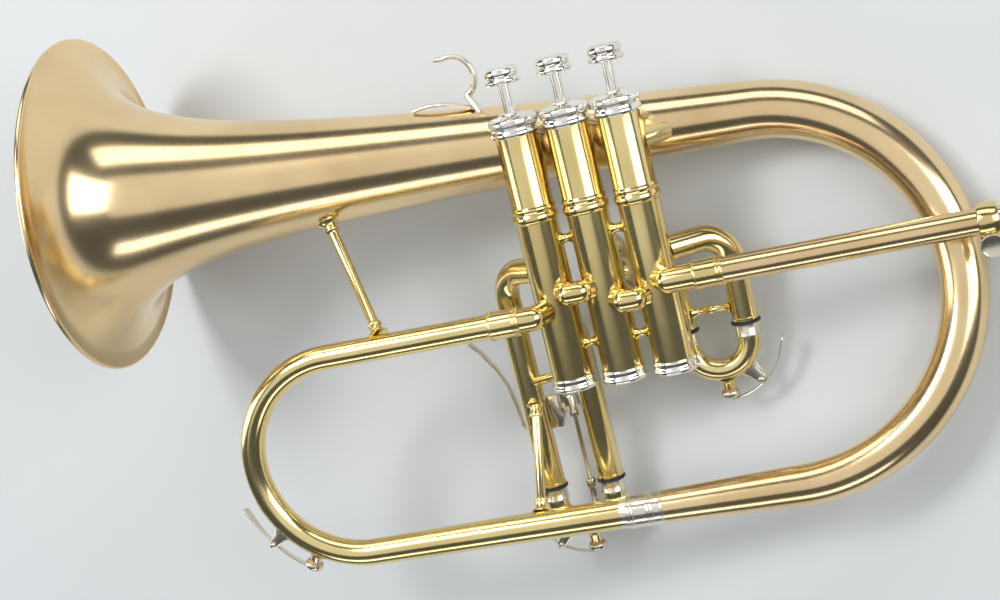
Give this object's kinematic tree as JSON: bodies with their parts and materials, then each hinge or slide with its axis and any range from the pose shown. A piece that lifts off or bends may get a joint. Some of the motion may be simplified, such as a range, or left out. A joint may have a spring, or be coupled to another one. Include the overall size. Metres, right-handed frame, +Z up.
{
  "type": "flugelhorn",
  "caption": "Conical brass wind instrument with piston valves, valve slides, a third-slide trigger and water keys, lying on its side.",
  "frame": {"origin": "centre of the footprint, on the surface that the horn lies on", "axes": "+X from the bell to the mouthpiece receiver, +Y towards the finger buttons, +Z up as the horn lies at rest on its bell rim, main bow and second slide"},
  "size_m": [0.4798, 0.2837, 0.1555],
  "materials": {
    "rose_brass": "clear-lacquered, polished",
    "yellow_brass": "clear-lacquered, polished",
    "nickel": "polished plating",
    "nickel_silver": "polished, worn to a light satin",
    "cork": "natural pressed cork",
    "rubber": "plain black rubber",
    "felt": "white felt",
    "steel": "drawn spring wire"
  },
  "bodies": {
    "root": {"bell": "rose_brass", "bell_wire": "steel", "bell_ferrule": "rose_brass", "main_bow": "rose_brass", "bow_ferrule": "nickel_silver", "small_bow": "yellow_brass", "outlet_ferrule": "yellow_brass", "outlet_elbow": "yellow_brass", "crossovers": "yellow_brass", "casing_spacers": "yellow_brass", "inlet_elbow": "yellow_brass", "inlet_ferrule": "yellow_brass", "leadpipe_sleeve": "rose_brass", "clamp_collar": "yellow_brass", "casing_1": "yellow_brass", "casing_2": "yellow_brass", "casing_3": "yellow_brass", "valve_guides": "felt", "valve_springs": "steel", "top_caps": "nickel", "bottom_caps": "nickel", "cap_felts": "felt", "first_sleeves": "yellow_brass", "second_sleeves": "yellow_brass", "third_sleeves": "yellow_brass", "bell_brace": "yellow_brass", "leadpipe_brace": "yellow_brass", "valve_brace": "yellow_brass", "third_brace": "yellow_brass", "finger_hook": "nickel_silver", "trigger_bracket": "nickel_silver", "bow_key_saddle": "nickel_silver"},
    "valve_1": {"piston_1": "nickel", "stem_1": "nickel", "button_1": "nickel"},
    "valve_2": {"piston_2": "nickel", "stem_2": "nickel", "button_2": "nickel"},
    "valve_3": {"piston_3": "nickel", "stem_3": "nickel", "button_3": "nickel"},
    "tuning_slide": {"tuning_pipe": "nickel_silver", "mouthpiece_receiver": "rose_brass"},
    "clamp_screw": {"clamp_screw": "nickel_silver"},
    "first_slide": {"first_slide_tubes": "nickel_silver", "first_slide_crook": "yellow_brass", "first_slide_rings": "rubber"},
    "second_slide": {"second_slide": "yellow_brass"},
    "third_slide": {"third_slide_tubes": "nickel_silver", "third_slide_crook": "yellow_brass", "third_slide_rings": "rubber", "trigger_rod": "nickel_silver"},
    "third_trigger": {"trigger_lever": "nickel_silver"},
    "bow_key": {"bow_key": "nickel_silver", "bow_key_cork": "cork"},
    "first_key": {"first_key": "nickel_silver", "first_key_cork": "cork"},
    "third_key": {"third_key": "nickel_silver", "third_key_cork": "cork"}
  },
  "joints": [
    {"name": "valve_1_press", "type": "slide", "parent": "root", "child": "valve_1", "axis": [-0.032, -0.9835, -0.1782], "range_m": [0, 0.0128], "stiffness_N_per_m": 150, "springref_m": -0.02, "deforming": ["valve_springs"]},
    {"name": "valve_2_press", "type": "slide", "parent": "root", "child": "valve_2", "axis": [-0.032, -0.9835, -0.1782], "range_m": [0, 0.0128], "stiffness_N_per_m": 150, "springref_m": -0.02, "deforming": ["valve_springs"]},
    {"name": "valve_3_press", "type": "slide", "parent": "root", "child": "valve_3", "axis": [-0.032, -0.9835, -0.1782], "range_m": [0, 0.0128], "stiffness_N_per_m": 150, "springref_m": -0.02, "deforming": ["valve_springs"]},
    {"name": "tuning_slide_pull", "type": "slide", "parent": "root", "child": "tuning_slide", "axis": [0.9843, 0, -0.1767], "range_m": [-0.01, 0.015]},
    {"name": "clamp_screw_turn", "type": "hinge", "parent": "root", "child": "clamp_screw", "pos_m": [0.17565, -0.03158, 0.03388], "axis": [-0.1738, 0.181, -0.968], "range_deg": [0, 270]},
    {"name": "first_slide_pull", "type": "slide", "parent": "root", "child": "first_slide", "axis": [-0.032, -0.9835, -0.1782], "range_m": [0, 0.006]},
    {"name": "second_slide_pull", "type": "slide", "parent": "root", "child": "second_slide", "axis": [-0.1738, 0.181, -0.968], "range_m": [0, 0.008]},
    {"name": "third_trigger_pull", "type": "hinge", "parent": "root", "child": "third_trigger", "pos_m": [-0.03531, -0.07504, 0.02035], "axis": [-0.1738, 0.181, -0.968], "range_deg": [0, 50], "stiffness_Nm_per_rad": 0.03, "springref_deg": -28.65},
    {"name": "third_slide_push", "type": "slide", "parent": "root", "child": "third_slide", "axis": [-0.032, -0.9835, -0.1782], "range_m": [0, 0.009]},
    {"name": "bow_key_open", "type": "hinge", "parent": "root", "child": "bow_key", "pos_m": [-0.16186, -0.10829, 0.08014], "axis": [-0.1738, 0.181, -0.968], "range_deg": [0, 15], "stiffness_Nm_per_rad": 0.03, "springref_deg": -20.05},
    {"name": "first_key_open", "type": "hinge", "parent": "first_slide", "child": "first_key", "pos_m": [0.06208, -0.07336, 0.01299], "axis": [-0.1738, 0.181, -0.968], "range_deg": [-15, 0], "stiffness_Nm_per_rad": 0.03, "springref_deg": 20.05},
    {"name": "third_key_open", "type": "hinge", "parent": "third_slide", "child": "third_key", "pos_m": [-0.04528, -0.13434, 0.02087], "axis": [-0.1738, 0.181, -0.968], "range_deg": [0, 15], "stiffness_Nm_per_rad": 0.03, "springref_deg": -20.05}
  ],
  "couplings": [
    {"joint": "third_slide_push", "follows": "third_trigger_pull", "m_per_rad": 0.010313}
  ]
}
